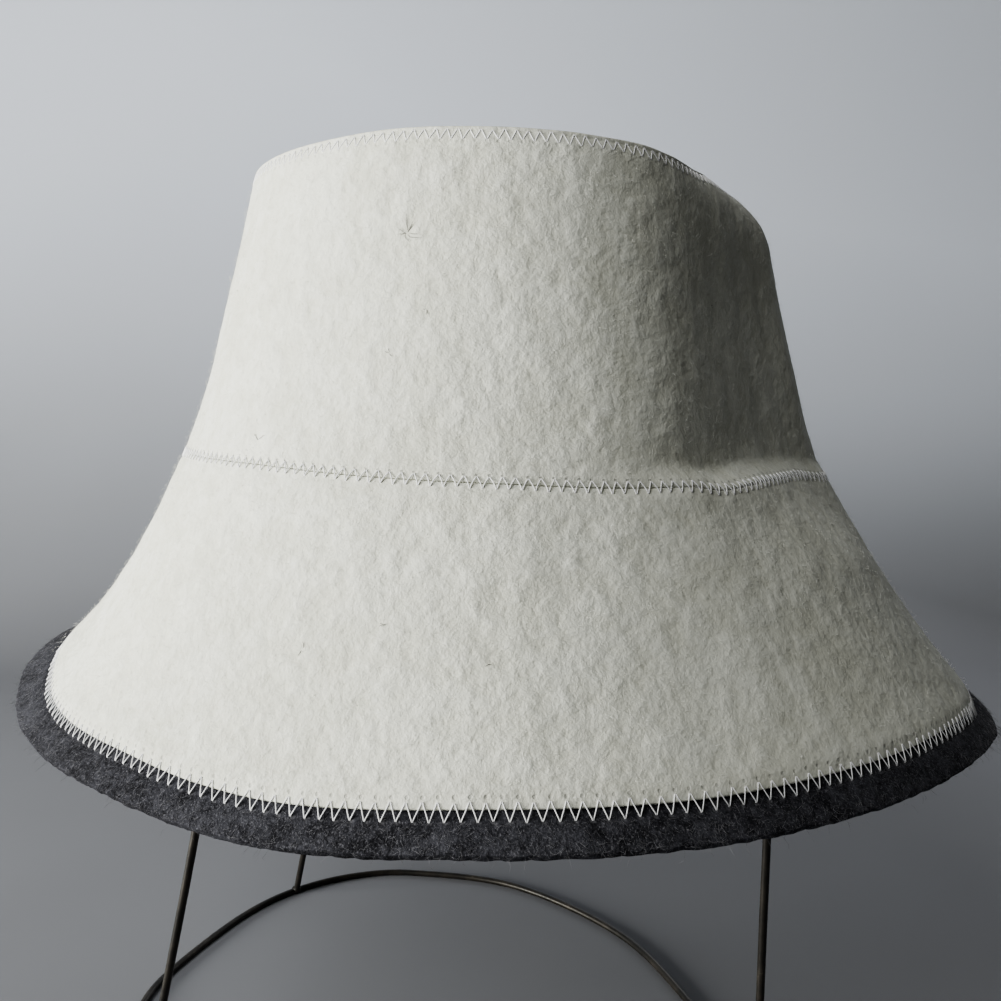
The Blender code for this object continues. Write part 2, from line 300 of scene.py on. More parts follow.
# Millimetres in a unit of the UV maps, which hold distances down from a unit above a seam
UV_SPAN = 100.0

# The wires' smoothness, and the height at which a leg's foot starts
WIRE_SIDES = 16
RING_STEPS = 12
LEG_STEPS = 10
FOOT_HEIGHT = 0.2

# The weld beads' rows and columns, and how uneven they are
BEAD_ROWS = 9
BEAD_COLUMNS = 20
BEAD_UNEVENNESS = 0.10

# The part of a half turn that a fibre's rise follows, and the least and most of its lift
FIBRE_RISE = (0.15, 1.0)
FIBRE_LIFTS = (0.3, 1.6)

BAND_FIBRES = 6500
BAND_FIBRES_FROM = 0.3
BAND_FIBRES_TO = 13.5

# The backdrop and the light
FLOOR_BACK = 0.42
SWEEP = 0.3
# Painted light on the paper: its colour runs from the dark floor colour, painted shade, to the pale
# wall colour up the wall, and up the wall it is painted lighter to the right and a little darker to
# the left
FLOOR_COLOUR = (0.178, 0.180, 0.192)
WALL_COLOUR = (0.695, 0.74, 0.84)
FLOOR_SHADE_FADE = (-0.12, 0.60)
SIDE_PAINTED_LIGHT = (-0.60, 0.60, -0.08, 0.30)
LIT_PLACE = (0.0, 0.0, 0.19)
WORLD_COLOUR = (1.0, 0.95, 0.55)
WORLD_STRENGTH = 0.014
BACKDROP_FRONT = (-1.6, -0.8, 0.0)
BACKDROP_HALF_WIDTH = 2.8
BACKDROP_TOP = 2.6
VIEW = "AgX"
LOOK = "AgX - Medium High Contrast"

SEED = 7


def hermite(share, start, pull_start, end, pull_end):
    """A cubic from start to end, leaving and arriving with the given pulls."""
    squared, cubed = share**2, share**3
    return (
        (2 * cubed - 3 * squared + 1) * start
        + (cubed - 2 * squared + share) * pull_start
        + (3 * squared - 2 * cubed) * end
        + (cubed - squared) * pull_end
    )


def ease(share):
    """0 below 0, 1 above 1, and a smooth step between."""
    share = np.clip(share, 0.0, 1.0)
    return share * share * (3 - 2 * share)


def around(table, column, azimuth):
    """Smooth values of a table's column at azimuths, closed round the hat."""
    azimuth = (np.asarray(azimuth, float) + 180.0) % 360.0 - 180.0
    at = np.array([row.azimuth for row in table], float)
    value = np.array([getattr(row, column) for row in table], float)
    at = np.concatenate((at[-2:] - 360.0, at, at[:2] + 360.0))
    value = np.concatenate((value[-2:], value, value[:2]))
    rise = np.diff(value) / np.diff(at)
    together = rise[:-1] * rise[1:] > 0
    total = np.where(together, rise[:-1] + rise[1:], 1.0)
    slope = np.where(together, 2 * rise[:-1] * rise[1:] / total, 0.0)
    i = np.clip(np.searchsorted(at, azimuth, side="right") - 1, 1, len(at) - 3)
    width = at[i + 1] - at[i]
    share = (azimuth - at[i]) / width
    return hermite(share, value[i], slope[i - 1] * width, value[i + 1], slope[i] * width)


def outwards(azimuth):
    """Level directions from the hat's axis."""
    angle = np.radians(azimuth)
    return np.stack((np.sin(angle), -np.cos(angle), np.zeros_like(angle)), axis=-1)


def placed(azimuth, radius, height, shift=0.0):
    """Points at a radius and a height, in millimetres."""
    point = outwards(azimuth) * radius[:, None]
    point[:, 2] = height
    point[:, 0] += shift
    return point


def pushed_in(azimuth, rise):
    """How far the dent pushes the crown's wall in."""
    joint, low, middle, top, curl = (around(DENT, name, azimuth) for name in Dent._fields[1:])
    lower = joint + (low - joint) * ease(rise / LOW_SHARE)
    centre = low + (middle - low) * ease((rise - LOW_SHARE) / (MIDDLE_SHARE - LOW_SHARE))
    upper = middle + (top - middle) * ease((rise - MIDDLE_SHARE) / (1 - MIDDLE_SHARE))
    push = np.where(rise < LOW_SHARE, lower, np.where(rise < MIDDLE_SHARE, centre, upper))
    curled = np.maximum(0.0, (rise - CURL_SHARE) / (1 - CURL_SHARE)) ** CURL_POWER
    return push + curl * curled


def crown_surface(azimuth, rise):
    """The crown wall's outer face, from the joint at rise 0 to the top edge at rise 1."""
    joint_slope, top_slope = math.radians(JOINT_SLOPE), math.radians(TOP_SLOPE)
    radius = hermite(
        rise,
        JOINT_RADIUS,
        -math.cos(joint_slope) * CROWN_PULL_AT_JOINT,
        TOP_RADIUS,
        -math.cos(top_slope) * CROWN_PULL_AT_TOP,
    )
    height = hermite(
        rise,
        around(CROWN_HEIGHTS, "joint", azimuth),
        math.sin(joint_slope) * CROWN_PULL_AT_JOINT,
        around(CROWN_HEIGHTS, "top", azimuth),
        math.sin(top_slope) * CROWN_PULL_AT_TOP,
    )
    return placed(azimuth, radius - pushed_in(azimuth, rise), height, TOP_SHIFT * rise)


def brim_surface(azimuth, run):
    """The brim's outer face, from the joint at run 0 to the grey band's edge at run 1."""
    joint_slope = math.radians(JOINT_SLOPE)
    droop = np.radians(around(BRIM_EDGE, "droop", azimuth))
    radius = hermite(
        run,
        JOINT_RADIUS,
        math.cos(joint_slope) * BRIM_PULL,
        around(BRIM_EDGE, "radius", azimuth),
        np.cos(droop) * BRIM_PULL,
    )
    height = hermite(
        run,
        around(CROWN_HEIGHTS, "joint", azimuth),
        -math.sin(joint_slope) * BRIM_PULL,
        around(BRIM_EDGE, "height", azimuth),
        -np.sin(droop) * BRIM_PULL,
    )
    radius = radius - around(DENT, "joint", azimuth) * (1 - ease(run / JOINT_PUSH_FADES))
    return placed(azimuth, radius, height)


def top_surface(azimuth, out):
    """The top panel's upper face, from its middle at out 0 to its edge at out 1."""
    edge = crown_surface(azimuth, np.ones_like(azimuth))
    middle = np.array((TOP_SHIFT, 0.0, TOP_MIDDLE_HEIGHT))
    point = middle + (edge - middle) * out[:, None]
    point[:, 2] = TOP_MIDDLE_HEIGHT + (edge[:, 2] - TOP_MIDDLE_HEIGHT) * out**2
    return point


def unit(vectors):
    """Vectors brought to length 1."""
    return vectors / np.maximum(np.linalg.norm(vectors, axis=-1, keepdims=True), 1e-12)


def facing(surface, azimuth, share):
    """Outward normals of a surface."""
    across = surface(azimuth + AZIMUTH_NUDGE, share) - surface(azimuth - AZIMUTH_NUDGE, share)
    along = surface(azimuth, share + SHARE_NUDGE) - surface(azimuth, share - SHARE_NUDGE)
    normal = unit(np.cross(across, along))
    out = outwards(azimuth) + np.array((0.0, 0.0, 1.0))
    return normal * np.where((normal * out).sum(axis=1) < 0, -1.0, 1.0)[:, None]


def white_end(azimuth):
    """Where the white felt ends along the brim's run."""
    return 1 - around(BRIM_EDGE, "band", azimuth) / BRIM_SLANT


def above_white_end(run, azimuth):
    """The brim's UV coordinate beside the white felt's lower edge, in millimetres."""
    return UV_SPAN - (white_end(azimuth) - run) * BRIM_SLANT


def lumps(points, kind):
    """How far lumps of a kind lift points."""
    offset = Vector((kind.place, 2.3 * kind.place, -kind.place))
    lifts = [noise.fractal(Vector(p) / kind.size + offset, 0.9, 2.1, kind.octaves) for p in points]
    return np.array(lifts) * kind.lift


def in_scene(name, data):
    """A new object in the scene."""
    made = bpy.data.objects.new(name, data)
    bpy.context.scene.collection.objects.link(made)
    return made


def mesh_object(name, vertices, faces, material):
    """A smooth mesh in the scene, from vertices in metres."""
    mesh = bpy.data.meshes.new(name)
    mesh.from_pydata(vertices, [], faces)
    mesh.materials.append(material)
    mesh.shade_smooth()
    return in_scene(name, mesh)


def new_mesh(name, vertices, faces, material):
    """A piece of the object, from vertices in millimetres."""
    piece = mesh_object(name, (np.asarray(vertices) * MM).tolist(), faces, material)
    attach(piece, "root")
    return piece


def add_uv(piece, name, u, v):
    """A UV map from the values at each quad's corners, and 0 at any faces after the quads."""
    corners = np.stack((u, v), -1).reshape(-1)
    uv = np.zeros(len(piece.data.loops) * 2, np.float32)
    uv[: len(corners)] = corners
    piece.data.uv_layers.new(name=name).data.foreach_set("uv", uv)


def quads(i, j, i2, j2, columns):
    """Quads from row i to i2 and from column j to j2 of a grid."""
    corners = np.stack((i * columns + j, i * columns + j2, i2 * columns + j2, i2 * columns + j), -1)
    return corners.reshape(-1, 4).tolist()


def end_faces(rows, columns):
    """A face across each end of a stack of rings."""
    return [list(range(columns))[::-1], list(range((rows - 1) * columns, rows * columns))]


# A row of a felt panel: where it lies along the surface, how deep under it, and how much of the
# felt's unevenness it has. Each is a number or an array round the hat.
Row = namedtuple("Row", "share depth loose")


def panel(name, surface, rows, columns, material, seams):
    """A felt panel, a closed loop of rows, with a UV map for each seam.

    seams gives each map's name and its distance down from a unit above the seam.
    """
    azimuth = np.arange(columns) * 360.0 / columns
    rings = []
    for row in rows:
        share = np.broadcast_to(row.share, azimuth.shape).astype(float)
        depth = np.broadcast_to(row.depth, azimuth.shape)
        point = surface(azimuth, share)
        normal = facing(surface, azimuth, share)
        rings.append(point - normal * (depth - row.loose * wave_at(point))[:, None])
    count = len(rings)
    i, j = np.indices((count, columns))
    i2, j2 = (i + 1) % count, (j + 1) % columns
    faces = quads(i, j, i2, j2, columns)
    piece = new_mesh(name, np.concatenate(rings), faces, material)
    for seam, distance in seams:
        away = np.array([np.broadcast_to(distance(row.share, azimuth), columns) for row in rows])
        u = np.stack((j, j + 1, j + 1, j), -1) / columns
        v = np.stack((away[i, j], away[i, j2], away[i2, j2], away[i2, j]), -1) / UV_SPAN
        add_uv(piece, seam, u, v)
    flip_if_inside_out(piece.data)


def flip_if_inside_out(mesh):
    """Turns a closed mesh's faces outwards."""
    mesh.calc_loop_triangles()
    points = np.array([v.co for v in mesh.vertices])
    corners = np.array([t.vertices for t in mesh.loop_triangles])
    a, b, c = (points[corners[:, k]] for k in range(3))
    if np.einsum("ij,ij->i", a, np.cross(b, c)).sum() < 0:
        mesh.flip_normals()


def dip(distance, depth, width):
    """How deep the stitches pull the felt in, at a distance from a seam."""
    return depth * np.exp(-((distance / width) ** 2))


def thickness(distance):
    """The felt's thickness at a distance in millimetres from where it is sewn."""
    return SEWN_FELT + (FELT - SEWN_FELT) * ease(distance / THINNING)


def looseness(away):
    """The share of its unevenness that the felt has at a distance from where it is sewn."""
    return SEWN_LOOSENESS + (1 - SEWN_LOOSENESS) * ease(away / LOOSE_FROM)


def cut_edge(outer, inner, outer_round, inner_round, steps):
    """A cut edge from the felt's outer face to its inner one: how far back, and how deep."""
    angles = np.radians(np.linspace(0, 90, steps))
    outer_part = [
        (outer_round * (1 - math.sin(angle)), outer + outer_round * (1 - math.cos(angle)))
        for angle in angles[1:]
    ]
    inner_part = [
        (inner_round * (1 - math.sin(angle)), inner - inner_round * (1 - math.cos(angle)))
        for angle in angles[::-1]
    ]
    return outer_part + inner_part


def felt_loop(start, end, slant, steps, pulls):
    """Rows of a felt panel from its start to its end and back along its inner face.

    pulls gives, for the start and the end, how deep and how wide the stitches pull the felt in.
    """
    length = (end - start) * slant
    start_pull, end_pull = pulls

    def row(run, depth):
        return Row(start + run / slant, depth, looseness(np.minimum(run, length - run)))

    def runs(shares):
        return [EDGE_ROUND + (length - 2 * EDGE_ROUND) * share for share in shares]

    rows = []
    for run in runs(np.linspace(0, 1, steps[0])):
        rows.append(row(run, dip(run, *start_pull) + dip(length - run, *end_pull)))
    for back, depth in cut_edge(end_pull[0], SEWN_FELT, EDGE_ROUND, EDGE_ROUND, 4):
        rows.append(row(length - back, depth))
    for run in runs(np.linspace(1, 0, steps[1])[1:-1]):
        rows.append(row(run, thickness(np.minimum(run, length - run) - EDGE_ROUND)))
    for back, depth in cut_edge(start_pull[0], SEWN_FELT, EDGE_ROUND, EDGE_ROUND, 4)[::-1]:
        rows.append(row(back, depth))
    return rows


def joint_spot(azimuth, distance):
    """A place by the seam of crown and brim: its point and normal, above or below the seam."""
    above = distance >= 0
    rise = np.where(above, distance, 0.0) / CROWN_SLANT
    run = np.where(above, 0.0, -distance) / BRIM_SLANT
    point = np.where(above[:, None], crown_surface(azimuth, rise), brim_surface(azimuth, run))
    return point, facing(crown_surface, azimuth, np.maximum(rise, SHARE_NUDGE))


def edge_spot(azimuth, distance):
    """A place by the white felt's lower edge, up on the white or down on the grey."""
    run = white_end(azimuth) - distance / BRIM_SLANT
    return brim_surface(azimuth, run), facing(brim_surface, azimuth, run)


def top_spot(azimuth, distance):
    """A place by the crown's top edge, in on the panel or down on the wall."""
    on_panel = distance >= 0
    rise = 1 + np.where(on_panel, 0.0, distance) / CROWN_SLANT
    out = 1 - np.where(on_panel, distance, 0.0) / TOP_RADIUS
    point = np.where(on_panel[:, None], top_surface(azimuth, out), crown_surface(azimuth, rise))
    outer = facing(crown_surface, azimuth, np.minimum(rise, 1 - SHARE_NUDGE))
    turn = np.clip(0.5 + distance / TOP_TURN, 0.0, 1.0)[:, None]
    return point, unit(outer * (1 - turn) + np.array((0.0, 0.0, 1.0)) * turn)


def wave_at(point):
    """How far the felt's unevenness lifts a point."""
    return sum(lumps(point, kind) for kind in FELT_LUMPS)


def headings(path, closed):
    """Directions along a path."""
    if closed:
        return unit(np.roll(path, -1, axis=0) - np.roll(path, 1, axis=0))
    return unit(np.gradient(path, axis=0))


def swept(points, normals, radius, sides, closed):
    """Rings of vertices round a path whose normals are known."""
    along = headings(points, closed)
    side = unit(np.cross(along, normals))
    up = np.cross(side, along)
    angle = math.tau * (np.arange(sides) + 0.5) / sides
    spokes = side[:, None] * np.cos(angle)[:, None] + up[:, None] * np.sin(angle)[:, None]
    return points[:, None] + spokes * radius


def tube_faces(count, sides, closed):
    """Quads between the rings of a tube, with capped ends where it is open."""
    last = count if closed else count - 1
    i, j = np.indices((last, sides))
    i2, j2 = (i + 1) % count, (j + 1) % sides
    corners = np.stack((i * sides + j, i2 * sides + j, i2 * sides + j2, i * sides + j2), -1)
    faces = corners.reshape(-1, 4).tolist()
    return faces if closed else faces + end_faces(count, sides)


def zigzag(seam, material, rng):
    """A thread that crosses a seam in a zigzag and dives into the felt at every needle hole."""
    apex = np.arange(2 * seam.count)
    pitch = 360.0 / seam.count
    azimuth = (apex / 2 + rng.normal(0, STITCH_JITTER, len(apex))) * pitch
    lean = STITCH_LEAN * np.tanh(3 * np.sin(np.radians(azimuth)))
    azimuth = azimuth + np.where(apex % 2, 0.0, lean * pitch)
    distance = np.where(apex % 2, seam.high, seam.low) + rng.normal(0, REACH_JITTER, len(apex))
    following = np.roll(azimuth, -1)
    following[-1] += 360.0

    def between(ends):
        return (ends[:, :1] + (ends[:, 1:] - ends[:, :1]) * STITCH_STEPS).ravel()

    azimuths = between(np.stack((azimuth, following), -1))
    ends = np.stack((distance, np.roll(distance, -1)), -1)
    distances = between(ends)
    depth = np.minimum(between(seam.felt_depth(ends)), seam.felt_depth(distances))
    from_hole = np.exp(-((STITCH_STEPS / DIVE_SHARE) ** 2))
    to_hole = np.exp(-(((1 - STITCH_STEPS) / DIVE_SHARE) ** 2))
    sunk = np.tile(from_hole + to_hole, len(apex)) * THREAD_SINK
    depth = depth - THREAD_RADIUS * seam.proud + sunk
    point, normal = seam.spot(azimuths, distances)
    point = point - normal * (depth - SEWN_LOOSENESS * wave_at(point))[:, None]
    rings = swept(point, normal, THREAD_RADIUS, THREAD_SIDES, closed=True)
    faces = tube_faces(len(rings), THREAD_SIDES, True)
    piece = new_mesh(seam.name, rings.reshape(-1, 3), faces, material)
    steps = np.linalg.norm(np.diff(point, axis=0), axis=1)
    length = np.concatenate(([0.0], np.cumsum(steps)))
    i, j = np.indices((len(rings), THREAD_SIDES))
    i2 = np.minimum(i + 1, len(rings) - 1)
    u = np.stack((length[i], length[i2], length[i2], length[i]), -1) / UV_SPAN
    v = np.stack((j, j, j + 1, j + 1), -1) / THREAD_SIDES
    add_uv(piece, "thread", u, v)


# A kind of loose fibre: how thick it is, how steeply it leaves the felt, how much it curls and
# in how many steps
Hair = namedtuple("Hair", "radius lift curl segments material slot")


def hairs(name, hair, root, normal, length, rng):
    """Loose three-sided fibres that leave the felt at their roots and bend over it."""
    count, segments = len(root), hair.segments
    turn = rng.uniform(0, math.tau, count)
    side = unit(np.cross(normal, np.array((0.3, 0.2, 1.0))))
    up = np.cross(normal, side)
    ahead = side * np.cos(turn)[:, None] + up * np.sin(turn)[:, None]
    across = np.cross(normal, ahead)
    heading = np.cumsum(rng.normal(0, hair.curl, (count, segments)), axis=1)
    climb = np.sin(np.linspace(*FIBRE_RISE, segments) * math.pi) * hair.lift
    points = [root]
    for k in range(segments):
        direction = (
            ahead * np.cos(heading[:, k : k + 1])
            + across * np.sin(heading[:, k : k + 1])
            + normal * (climb[k] * rng.uniform(*FIBRE_LIFTS, count))[:, None]
        )
        points.append(points[-1] + unit(direction) * (length / segments)[:, None])
    points = np.stack(points, axis=1)
    along = unit(np.gradient(points, axis=1))
    side = unit(np.cross(along, normal[:, None]))
    up = np.cross(side, along)
    angle = math.tau * np.arange(3) / 3
    spokes = (
        side[:, 1:-1, None] * np.cos(angle)[:, None] + up[:, 1:-1, None] * np.sin(angle)[:, None]
    )
    rings = points[:, 1:-1, None] + hair.radius * spokes
    inner = segments - 1
    each = inner * 3 + 2
    vertices = np.concatenate((points[:, :1], rings.reshape(count, -1, 3), points[:, -1:]), axis=1)
    tip = each - 1
    faces = []
    for k in range(3):
        k2 = (k + 1) % 3
        faces.append((0, 1 + k2, 1 + k))
        faces.append((tip, tip - 3 + k, tip - 3 + k2))
        for ring in range(inner - 1):
            a, b = 1 + ring * 3, 4 + ring * 3
            faces.append((a + k, a + k2, b + k2))
            faces.append((a + k, b + k2, b + k))
    faces = np.array(faces)[None] + (np.arange(count) * each)[:, None, None]
    faces = faces.reshape(-1, 3).tolist()
    new_mesh(name, vertices.reshape(-1, 3), faces, hair.material)


def smooth_path(places, per_span, closed):
    """A smooth curve through places, each span in per_span steps."""
    points = np.array(places, float)
    count = len(points)
    spans = count if closed else count - 1
    path = []
    for i in range(spans):
        if closed:
            before, start, end, after = (points[(i + k) % count] for k in (-1, 0, 1, 2))
        else:
            before, after = points[max(i - 1, 0)], points[min(i + 2, count - 1)]
            start, end = points[i], points[i + 1]
        for step in range(per_span):
            pulls = (end - before) / 2, (after - start) / 2
            path.append(hermite(step / per_span, start, pulls[0], end, pulls[1]))
    if not closed:
        path.append(points[-1])
    return np.array(path)


def wire_vertices(path, sides, closed):
    """Rings of vertices round a wire, whose side direction is carried along the path."""
    side = np.array((1.0, 0.0, 0.0))
    normals = []
    for step in headings(path, closed):
        side = unit(side - step * side.dot(step))
        normals.append(side)
    return swept(path, np.array(normals), WIRE / 2, sides, closed)


class Shading:
    """A material under construction: makes nodes and links them."""

    def __init__(self, name, roughness, **settings):
        self.material = bpy.data.materials.new(name)
        self.material.use_nodes = True
        self.tree = self.material.node_tree
        self.shader = self.tree.nodes["Principled BSDF"]
        self.shader.inputs["Roughness"].default_value = roughness
        for socket, value in settings.items():
            self.shader.inputs[socket.replace("_", " ")].default_value = value

    def node(self, kind, inputs=None, **settings):
        """A node with its settings, its inputs being numbers, colours or sockets."""
        made = self.tree.nodes.new(kind)
        for key, value in settings.items():
            setattr(made, key, value)
        for key, value in (inputs or {}).items():
            if isinstance(value, bpy.types.NodeSocket):
                self.tree.links.new(value, made.inputs[key])
            else:
                made.inputs[key].default_value = value
        return made

    def math(self, operation, first, second=0.0, clamp=False):
        """The result of a sum on one or two values."""
        inputs = {0: first, 1: second}
        return self.node("ShaderNodeMath", inputs, operation=operation, use_clamp=clamp).outputs[0]

    def object_place(self):
        """Coordinates in metres, fixed to the object."""
        return self.node("ShaderNodeTexCoord").outputs["Object"]

    def noise(self, place, size, detail=3.0, rough=0.55, stretch=1.0, turn=(0.0, 0.0, 0.0)):
        """Noise with features of a size in millimetres, drawn out along one direction if asked."""
        inputs = {"Vector": place, "Rotation": turn, "Scale": (1.0, 1.0, 1.0 / stretch)}
        mapped = self.node("ShaderNodeMapping", inputs).outputs[0]
        inputs = {"Vector": mapped, "Scale": 1000.0 / size, "Detail": detail, "Roughness": rough}
        return self.node("ShaderNodeTexNoise", inputs).outputs["Fac"]

    def span(self, value, low, high, start=0.0, end=1.0):
        """A smooth step of a value between two limits."""
        inputs = {"Value": value, "From Min": low, "From Max": high, "To Min": start, "To Max": end}
        return self.node("ShaderNodeMapRange", inputs, interpolation_type="SMOOTHSTEP").outputs[0]

    def mix(self, share, first, second):
        """A mix of two colours, each of them a socket or three numbers."""
        first, second = (
            colour if isinstance(colour, bpy.types.NodeSocket) else (*colour, 1.0)
            for colour in (first, second)
        )
        inputs = {"Factor": share, 6: first, 7: second}
        return self.node("ShaderNodeMix", inputs, data_type="RGBA").outputs[2]

    def weighed(self, values, weights):
        """The sum of values, each times its weight."""
        total = 0.0
        for value, weight in zip(values, weights):
            total = self.node(
                "ShaderNodeMath", {0: value, 1: weight, 2: total}, operation="MULTIPLY_ADD"
            ).outputs[0]
        return total

    def needle_holes(self, seam, count, phase, distance, radius):
        """1 at each needle hole beside a seam, fading to 0 round it."""
        uv = self.node("ShaderNodeUVMap", uv_map=seam).outputs[0]
        split = self.node("ShaderNodeSeparateXYZ", {0: uv}).outputs
        turns = self.math("ADD", self.math("MULTIPLY", split[0], float(count)), phase)
        beside = self.math("SUBTRACT", self.math("FRACT", turns), 0.5)
        along = self.math("MULTIPLY", beside, HOLE_PITCH[seam])
        away = self.math("SUBTRACT", 1.0 - distance / UV_SPAN, split[1])
        away = self.math("MULTIPLY", away, UV_SPAN)
        squared = self.math("ADD", self.math("POWER", along, 2.0), self.math("POWER", away, 2.0))
        return self.span(squared, 0.0, radius**2, 1.0, 0.0)

    def finish(self, colour, height=None):
        """Puts a colour, and a relief whose height is in millimetres, into the shader."""
        self.tree.links.new(colour, self.shader.inputs["Base Color"])
        if height is not None:
            inputs = {"Height": height, "Distance": MM, "Strength": 1.0}
            relief = self.node("ShaderNodeBump", inputs).outputs[0]
            self.tree.links.new(relief, self.shader.inputs["Normal"])
        return self.material


# A seam's needle holes; the last column is how far each hole's colour is mixed towards the hole
# colour: painted shade that darkens the white felt's holes, and lightens the grey felt's, which is
# darker than that colour
Holes = namedtuple("Holes", "seam count phase distance radius depth stain")
HOLE_SHADE_COLOUR = (0.12, 0.12, 0.13)

# Size in millimetres, detail and roughness of the felt's broad patches, lumps, knots, clumps
# and fuzz
FELT_NOISES = (
    (26.0, 3.0, 0.55),
    (6.5, 2.0, 0.5),
    (3.0, 2.0, 0.5),
    (1.3, 2.0, 0.55),
    (0.5, 3.0, 0.6),
)

# Sizes and turns of the three layers of fine fibres that cross the felt
FIBRE_LAYERS = (
    (0.42, (0.3, 0.2, 0.0)),
    (0.38, (1.4, 0.5, 0.9)),
    (0.46, (1.2, -0.9, 2.2)),
)
FIBRE_STRETCH = 6.0

# The range of the weighed noises in which the felt's colour goes from dark to light: its own uneven
# tone, with painted shade in its hollows
MOTTLE_AND_PIT_SHADE_SPAN = (0.38, 0.62)


def felt_material(
    name, light, dark, fibre_colour, fibre_share, fibre_span, grain, mottling_and_pit_shade, sheen, holes
):
    """Wool felt: matt, lumpy, crossed by fine fibres, pulled in at its needle holes, whose colour
    is mixed towards a hole colour that is painted shade on the white felt.

    grain weighs lumps, knots, clumps, fuzz and fibres in the relief, and the mottling weights weigh
    broad patches, lumps, knots, clumps and fuzz in the colour between dark and light: the felt's
    own uneven tone, with painted shade where the same lumps, knots, clumps and fuzz sink the
    relief.
    """
    make = Shading(name, 0.95, Specular_IOR_Level=0.15, Sheen_Weight=sheen, Sheen_Roughness=0.6)
    place = make.object_place()
    tones = [make.noise(place, *settings) for settings in FELT_NOISES]
    fibres = 0.0
    for size, turn in FIBRE_LAYERS:
        streaks = make.noise(place, size, 2.0, 0.5, FIBRE_STRETCH, turn)
        fibres = make.math("MAXIMUM", streaks, fibres)
    height = make.weighed((*tones[1:], fibres), grain)
    # The felt's own uneven tone, with painted shade: the colour is darker where the same noises
    # lower the relief
    shade = make.weighed(tones, mottling_and_pit_shade)
    colour = make.mix(make.span(shade, *MOTTLE_AND_PIT_SHADE_SPAN), dark, light)
    strand = make.math("MULTIPLY", make.span(fibres, *fibre_span), fibre_share)
    colour = make.mix(strand, colour, fibre_colour)
    for row in holes:
        hole = make.needle_holes(row.seam, row.count, row.phase, row.distance, row.radius)
        height = make.math("SUBTRACT", height, make.math("MULTIPLY", hole, row.depth))
        # Painted shade at each needle hole: the colour is mixed towards the hole colour (it
        # lightens the darker grey felt)
        colour = make.mix(make.math("MULTIPLY", hole, row.stain), colour, HOLE_SHADE_COLOUR)
    return make.finish(colour, height)


WHITE = felt_material(
    "white_felt_fine",
    light=(0.796, 0.810, 0.742),
    dark=(0.680, 0.687, 0.605),
    fibre_colour=(0.86, 0.86, 0.82),
    fibre_share=0.35,
    fibre_span=(0.64, 0.76),
    grain=(0.74, 0.40, 0.17, 0.13, 0.05),
    mottling_and_pit_shade=(0.30, 0.22, 0.20, 0.14, 0.14),
    sheen=0.10,
    holes=(
        Holes("joint", JOINT_STITCHES, 0.0, 3.5, 0.58, 0.12, 0.36),
        Holes("edge", EDGE_STITCHES, 0.0, 2.4, 0.56, 0.12, 0.27),
        Holes("top", TOP_STITCHES, 0.5, -4.1, 0.55, 0.08, 0.14),
    ),
)
GREY = felt_material(
    "grey_felt_fine",
    light=(0.066, 0.067, 0.080),
    dark=(0.011, 0.011, 0.014),
    fibre_colour=(0.17, 0.17, 0.19),
    fibre_share=0.75,
    fibre_span=(0.60, 0.74),
    grain=(0.40, 0.40, 0.40, 0.30, 0.25),
    mottling_and_pit_shade=(0.15, 0.15, 0.20, 0.25, 0.25),
    sheen=0.0,
    holes=(Holes("edge", EDGE_STITCHES, 0.5, -2.6, 0.8, 0.2, 0.5),),
)


def plain_fibre(name, low, high):
    """Loose fibres, lighter and darker along the felt."""
    make = Shading(name, 0.8, Specular_IOR_Level=0.2, Sheen_Weight=0.1)
    tone = make.noise(make.object_place(), 2.5, 1.0)
    return make.finish(make.mix(make.span(tone, 0.35, 0.65), low, high))


def thread_material():
    """White twisted sewing thread, with painted shade in the grooves between its strands."""
    make = Shading("seam_thread", 0.5, Specular_IOR_Level=0.5, Sheen_Weight=0.1)
    uv = make.node("ShaderNodeUVMap", uv_map="thread").outputs[0]
    split = make.node("ShaderNodeSeparateXYZ", {0: uv}).outputs
    turns = make.math("ADD", make.math("MULTIPLY", split[0], UV_SPAN / THREAD_TWIST), split[1])
    strand = make.math("ABSOLUTE", make.math("SINE", make.math("MULTIPLY", turns, math.pi * 2)))
    wear = make.noise(make.object_place(), 6.0, 2.0)
    colour = make.mix(make.span(wear, 0.35, 0.7), (0.97, 0.975, 1.0), (0.91, 0.915, 0.94))
    # Painted shade in the grooves between the twisted strands
    groove_shade = make.math("MULTIPLY", make.math("SUBTRACT", 1.0, strand), 0.15)
    colour = make.mix(groove_shade, colour, (0.7, 0.7, 0.74))
    return make.finish(colour, make.math("MULTIPLY", strand, 0.03))


def wire_material():
    """Steel wire with a dark coating, worn a little lighter in places."""
    make = Shading("dark_wire_coated", 0.42, Metallic=0.35, Specular_IOR_Level=0.45)
    place = make.object_place()
    patches = make.noise(place, 9.0, 4.0, 0.65)
    grain = make.noise(place, 0.6, 3.0, 0.6)
    colour = make.mix(make.span(patches, 0.35, 0.7), (0.016, 0.015, 0.013), (0.038, 0.033, 0.027))
    worn = make.math("MULTIPLY", make.span(patches, 0.60, 0.72), make.span(grain, 0.5, 0.62))
    colour = make.mix(worn, colour, (0.09, 0.08, 0.066))
    rough = make.span(grain, 0.3, 0.7, 0.34, 0.55)
    make.tree.links.new(rough, make.shader.inputs["Roughness"])
    return make.finish(colour, make.weighed((patches, grain), (0.10, 0.03)))


